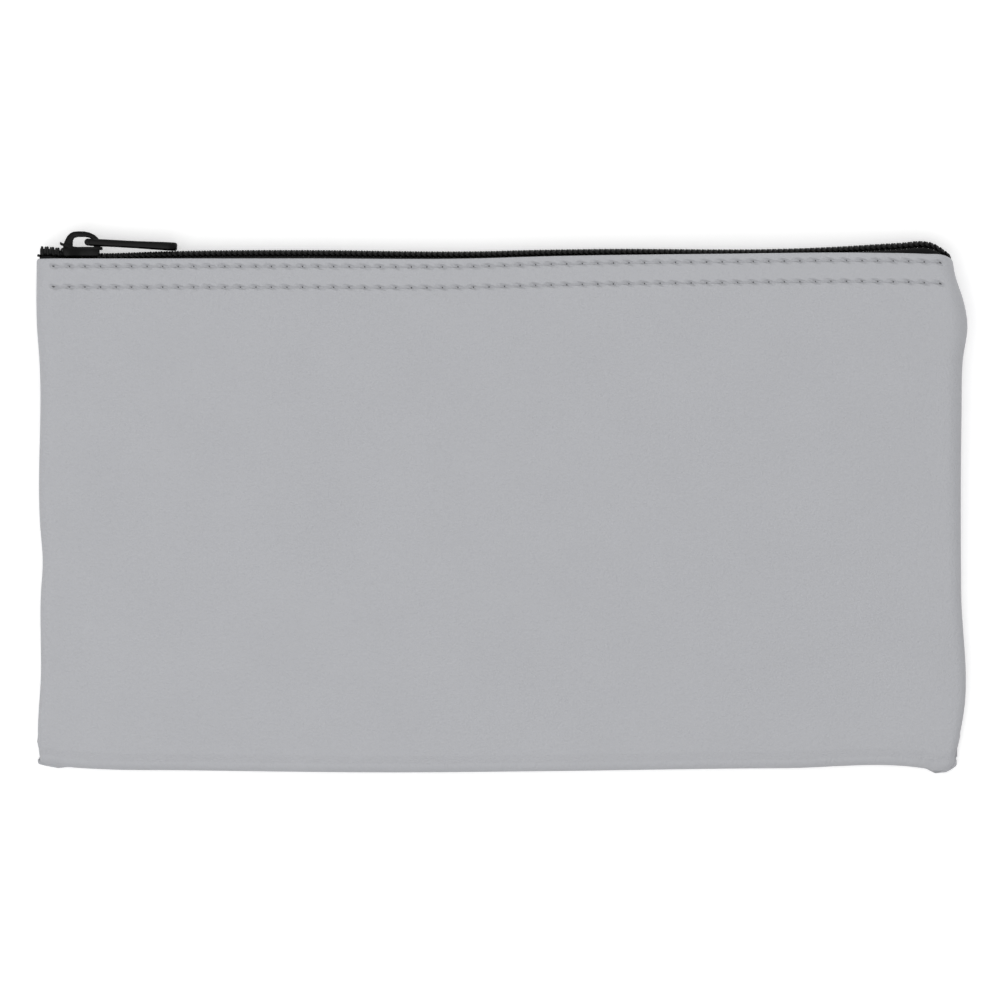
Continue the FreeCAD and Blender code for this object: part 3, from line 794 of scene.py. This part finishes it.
def vinyl_material(name, holes_with_painted_shade):
    """Plasticised PVC sheet on cloth, embossed with a fine leather grain: soft low sheen, pale grey.

    Grain cells are about 0.7 mm, the pores between them about 0.2 mm.
    """
    made, tree, shader = new_material(name, Roughness=0.52, IOR=1.5)
    shader.inputs["Specular IOR Level"].default_value = 0.35
    uv = add_node(tree, "ShaderNodeUVMap", {"uv_map": "cut"}).outputs[0]
    cells = add_node(tree, "ShaderNodeTexVoronoi",
                     {"feature": "SMOOTH_F1", "Scale": 1 / (0.7 * MM), "Smoothness": 0.5, "Randomness": 1.0},
                     {"Vector": uv}).outputs["Distance"]
    pores = add_node(tree, "ShaderNodeTexNoise", {"Scale": 1 / (0.45 * MM), "Detail": 3.0, "Roughness": 0.6},
                     {"Vector": uv}).outputs["Fac"]
    cloud = add_node(tree, "ShaderNodeTexNoise", {"Scale": 1 / (22 * MM), "Detail": 2.0},
                     {"Vector": uv}).outputs["Fac"]
    grain = maths(tree, "ADD", maths(tree, "MULTIPLY", cells, 0.7), maths(tree, "MULTIPLY", pores, 0.6))
    tone = add_node(tree, "ShaderNodeMix", {"data_type": "RGBA"})
    for socket in tone.inputs:
        if socket.type == "RGBA" and socket.name == "A":
            socket.default_value = linear("B0B1B5")
        if socket.type == "RGBA" and socket.name == "B":
            socket.default_value = linear("B8B9BD")
    mixed = maths(tree, "ADD", maths(tree, "MULTIPLY", cloud, 0.55), maths(tree, "MULTIPLY", pores, 0.45))
    tree.links.new(mixed, tone.inputs["Factor"])
    colour = [s for s in tone.outputs if s.type == "RGBA"][0]
    height = grain
    # Needle holes: a dimple in the bump, and painted shade that darkens the vinyl to 3A3A3D inside each hole.
    if holes_with_painted_shade:
        parts = add_node(tree, "ShaderNodeSeparateXYZ", links={"Vector": uv})
        along = maths(tree, "DIVIDE", parts.outputs[0], stitch)
        along = maths(tree, "SUBTRACT", maths(tree, "FRACT", maths(tree, "ADD", along, HOLE_SHIFT)), 0.5)
        along = maths(tree, "MULTIPLY", along, stitch)
        middle = (EDGE_ROW + HEM_ROW) / 2
        past = maths(tree, "SUBTRACT", parts.outputs[1], middle)
        down = maths(tree, "SUBTRACT", maths(tree, "ABSOLUTE", past), (HEM_ROW - EDGE_ROW) / 2)
        tilt = maths(tree, "MULTIPLY", maths(tree, "SIGN", past), 0.25)
        down = maths(tree, "MULTIPLY", maths(tree, "ADD", down, maths(tree, "MULTIPLY", along, tilt)), 1.5)
        along = maths(tree, "MULTIPLY", along, 0.55)
        row_middle, row_half = (first_hole + last_hole) / 2, (last_hole - first_hole) / 2
        from_middle = maths(tree, "ABSOLUTE", maths(tree, "SUBTRACT", parts.outputs[0], row_middle))
        beyond = maths(tree, "SUBTRACT", from_middle, row_half + MM)
        beyond = maths(tree, "MAXIMUM", beyond, 0.0)
        far = maths(tree, "SQRT", maths(tree, "ADD", maths(tree, "MULTIPLY", along, along),
                                        maths(tree, "MULTIPLY", down, down)))
        far = maths(tree, "ADD", far, beyond)
        hole = add_node(tree, "ShaderNodeMapRange", {"From Min": 0.22 * MM, "From Max": 0.52 * MM,
                                                     "To Min": 1.0,
                                                     "To Max": 0.0}, {"Value": far}).outputs[0]
        pull = add_node(tree, "ShaderNodeMapRange", {"From Min": 0.2 * MM, "From Max": 1.5 * MM, "To Min": 1.0,
                                                     "To Max": 0.0, "interpolation_type": "SMOOTHSTEP"},
                        {"Value": far}).outputs[0]
        # Painted shade: 3A3A3D, mixed in by the hole mask, stands in for the shade inside each needle hole.
        hole_shade_mix = add_node(tree, "ShaderNodeMix", {"data_type": "RGBA"})
        tree.links.new(hole, hole_shade_mix.inputs["Factor"])
        tree.links.new(colour, [s for s in hole_shade_mix.inputs if s.type == "RGBA" and s.name == "A"][0])
        [s for s in hole_shade_mix.inputs if s.type == "RGBA" and s.name == "B"][0].default_value = linear("3A3A3D")
        colour = [s for s in hole_shade_mix.outputs if s.type == "RGBA"][0]
        height = maths(tree, "SUBTRACT", grain, maths(tree, "MULTIPLY", pull, 2.4))
    tree.links.new(colour, shader.inputs["Base Color"])
    bump = add_node(tree, "ShaderNodeBump", {"Strength": 0.85, "Distance": 0.24 * MM}, {"Height": height})
    tree.links.new(bump.outputs[0], shader.inputs["Normal"])
    return made


def thread_material(name, code, sheen):
    """Twisted polyester thread: two plies laid slantwise, about 0.35 mm a turn."""
    made, tree, shader = new_material(name, Roughness=0.6)
    shader.inputs["Specular IOR Level"].default_value = 0.2
    shader.inputs["Sheen Weight"].default_value = sheen
    shader.inputs["Base Color"].default_value = linear(code)
    place = add_node(tree, "ShaderNodeTexCoord").outputs["Object"]
    turned_place = add_node(tree, "ShaderNodeMapping", {"Rotation": (0.6, 0.5, 0.8)},
                            {"Vector": place}).outputs[0]
    plies = add_node(tree, "ShaderNodeTexWave", {"wave_type": "BANDS", "Scale": 0.32 / (0.35 * MM),
                                                 "Distortion": 1.0,
                                                 "Detail": 1.0}, {"Vector": turned_place}).outputs["Fac"]
    bump = add_node(tree, "ShaderNodeBump", {"Strength": 0.5, "Distance": 0.05 * MM}, {"Height": plies})
    tree.links.new(bump.outputs[0], shader.inputs["Normal"])
    return made


def tape_material():
    """Woven polyester tape, dyed black: matt, with warp ribs about 0.45 mm apart."""
    made, tree, shader = new_material("woven_black_polyester_tape", Roughness=0.85)
    shader.inputs["Specular IOR Level"].default_value = 0.15
    shader.inputs["Base Color"].default_value = linear("0D0D0E")
    uv = add_node(tree, "ShaderNodeUVMap", {"uv_map": "cut"}).outputs[0]
    warp = add_node(tree, "ShaderNodeTexWave", {"bands_direction": "Y", "Scale": 0.32 / (0.45 * MM),
                                                "Distortion": 0.4},
                    {"Vector": uv}).outputs["Fac"]
    weft = add_node(tree, "ShaderNodeTexWave", {"bands_direction": "X", "Scale": 0.32 / (0.4 * MM),
                                                "Distortion": 0.4},
                    {"Vector": uv}).outputs["Fac"]
    weave = maths(tree, "MULTIPLY", warp, weft)
    bump = add_node(tree, "ShaderNodeBump", {"Strength": 0.6, "Distance": 0.08 * MM}, {"Height": weave})
    tree.links.new(bump.outputs[0], shader.inputs["Normal"])
    return made


def nylon_material():
    """Black nylon monofilament, drawn and heat set: smooth with a soft satin glint."""
    made, tree, shader = new_material("drawn_black_nylon", Roughness=0.34, IOR=1.53)
    shader.inputs["Base Color"].default_value = linear("070707")
    shader.inputs["Specular IOR Level"].default_value = 0.14
    place = add_node(tree, "ShaderNodeTexCoord").outputs["Object"]
    streak = add_node(tree, "ShaderNodeTexNoise", {"Scale": 1 / (0.3 * MM), "Detail": 2.0}, {"Vector": place})
    rough = add_node(tree, "ShaderNodeMapRange", {"To Min": 0.26, "To Max": 0.46},
                     {"Value": streak.outputs["Fac"]})
    tree.links.new(rough.outputs[0], shader.inputs["Roughness"])
    return made


def enamel_material():
    """Black baking enamel on die-cast zinc: glossy, with slight orange peel about 0.6 mm across."""
    made, tree, shader = new_material("black_baked_enamel_on_zinc", Roughness=0.3, IOR=1.5)
    shader.inputs["Base Color"].default_value = linear("040404")
    shader.inputs["Specular IOR Level"].default_value = 0.1
    place = add_node(tree, "ShaderNodeTexCoord").outputs["Object"]
    peel = add_node(tree, "ShaderNodeTexNoise", {"Scale": 1 / (0.6 * MM), "Detail": 2.0}, {"Vector": place})
    rough = add_node(tree, "ShaderNodeMapRange", {"To Min": 0.22, "To Max": 0.4},
                     {"Value": peel.outputs["Fac"]})
    tree.links.new(rough.outputs[0], shader.inputs["Roughness"])
    bump = add_node(tree, "ShaderNodeBump", {"Strength": 0.15, "Distance": 0.04 * MM},
                    {"Height": peel.outputs["Fac"]})
    tree.links.new(bump.outputs[0], shader.inputs["Normal"])
    return made


# ------------------------------------------------------------------ dress the frame
def mouth_weight(x):
    """Share of the mouth's opening that a place across the bag takes: none at the sewn ends."""
    t = np.clip((x + 112 * MM) / (half_width + 112 * MM), 0, 1)
    return np.sin(math.pi * t) ** 1.35


def fit_front(obj):
    """Put a front piece's place into its mesh and work out each point's share of the mouth's opening; nothing
    uses that share.
    """
    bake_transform(obj)
    weights = mouth_weight(points(obj)[:, 0])


def finish_piece(obj, material, nodes, front=None, body=None):
    """Material and stand-in of a finished piece, and its body for pieces that are not front pieces."""
    obj.data.materials.clear()
    obj.data.materials.append(material)
    if nodes:
        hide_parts(*nodes)
    if front:
        fit_front(obj)
    else:
        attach(obj, body or "bag_back")


stitches = int((ROW_HIGH - ROW_LOW) / stitch)
first_hole = (ROW_LOW + ROW_HIGH) / 2 - stitches * stitch / 2
last_hole = first_hole + stitches * stitch
HOLE_SHIFT = 100.5 - first_hole / stitch

vinyl_front = vinyl_material("grained_grey_vinyl", True)
thread_grey = thread_material("grey_polyester_thread", "B0B1B5", 0.1)
thread_black = thread_material("black_polyester_thread", "0D0D0E", 0.0)
tape_black = tape_material()
nylon_black = nylon_material()
enamel_black = enamel_material()

for side, front in (("back", False), ("front", True)):
    panel = make_panel(side + "_vinyl", front)
    finish_piece(panel, vinyl_front, [side + "_panel"], front)
    tape = make_tape(side + "_tape_cloth", front)
    finish_piece(tape, tape_black, [side + "_zipper_tape"], front)
    coil = make_coil(side + "_coil_wire", front)
    finish_piece(coil, nylon_black, [side + "_coil"], front)
    cord = make_cord(side + "_filler_cord", front)
    finish_piece(cord, thread_black, [side + "_coil_cord"], front)
    tack = tacking_row(side + "_coil_tacking", front)
    finish_piece(tack, thread_black, [side + "_coil_stitching"], front)
    for row_name, row in (("edge", EDGE_ROW), ("hem", HEM_ROW)):
        label = "%s_%s" % (side, row_name)
        outer = needle_row(label + "_needle_stitches", row, front, panel)
        finish_piece(outer, thread_grey, [label + "_needle_thread"], front)
        inner = bobbin_row(label + "_bobbin_stitches", row, front)
        finish_piece(inner, thread_grey, [label + "_bobbin_thread"], front)

for label, side in (("left", 1), ("right", -1)):
    seam = side_seam(label + "_seam_stitches", side)
    finish_piece(seam, thread_grey, [label + "_seam_thread"])
seam = foot_seam("foot_seam_stitches")
finish_piece(seam, thread_grey, ["bottom_seam_thread"])

slider = make_slider()
finish_piece(slider, enamel_black, ["slider_body"], body="slider")
tab = make_tab()
finish_piece(tab, enamel_black, ["pull_tab"], body="pull_tab")

# ------------------------------------------------------------------ floor, light and camera
free()
bpy.ops.mesh.primitive_plane_add(size=6, location=(0, 0, -0.0002))
floor = named("floor")
settle(floor)
backdrop, tree, shader = new_material("pale_paper_sweep", Roughness=0.9)
shader.inputs["Base Color"].default_value = linear("F4F4F4")
path = add_node(tree, "ShaderNodeLightPath")
seen = maths(tree, "MAXIMUM", path.outputs["Is Camera Ray"],
             maths(tree, "MAXIMUM", path.outputs["Is Glossy Ray"], path.outputs["Is Transmission Ray"]))
shader.inputs["Emission Color"].default_value = (1, 1, 1, 1)
tree.links.new(maths(tree, "MULTIPLY", seen, 0.35), shader.inputs["Emission Strength"])
floor.data.materials.append(backdrop)


def lamp(name, place, size, power, target=(0, 0, 0)):
    """Soft square lamp aimed at a point."""
    free()
    bpy.ops.object.light_add(type="AREA", location=place)
    obj = bpy.context.active_object
    obj.name = name
    obj.data.shape = "SQUARE"
    obj.data.size = size
    obj.data.energy = power
    way = Vector(target) - Vector(place)
    obj.rotation_euler = way.to_track_quat("-Z", "Y").to_euler()
    return obj


lamp("overhead_softbox", (0.3, 0.5, 1.9), 1.6, 14.4)
lamp("mouth_softbox", (-0.5, -1.5, 1.1), 1.0, 6.3)
lamp("side_softbox", (1.5, -0.2, 0.9), 0.9, 3.6)

world = bpy.data.worlds.new("studio")
bpy.context.scene.world = world
world.use_nodes = True
tree = world.node_tree
ground = tree.nodes["Background"]
path = add_node(tree, "ShaderNodeLightPath")
seen = maths(tree, "MAXIMUM", path.outputs["Is Camera Ray"],
             maths(tree, "MAXIMUM", path.outputs["Is Glossy Ray"], path.outputs["Is Transmission Ray"]))
ground.inputs["Color"].default_value = (1, 1, 1, 1)
level = add_node(tree, "ShaderNodeMapRange", {"To Min": 0.49, "To Max": 1.0}, {"Value": seen})
tree.links.new(level.outputs[0], ground.inputs["Strength"])

view = bpy.context.scene.view_settings
view.view_transform = "Standard"

free()
bpy.ops.object.camera_add()
camera = bpy.context.active_object
camera.name = "camera"
camera.data.sensor_width = 36
LENS = 400
camera.data.lens = LENS
camera.data.clip_end = 20
ahead = 302.7 * MM * LENS / camera.data.sensor_width
across, upward = Vector((-1, 0, 0)), Vector((0, -1, 0))
turn = Matrix((across, upward, Vector((0, 0, 1)))).transposed().to_4x4()
camera.matrix_world = Matrix.Translation((0.15 * MM, -4.54 * MM, 12 * MM + ahead)) @ turn
bpy.context.scene.camera = camera
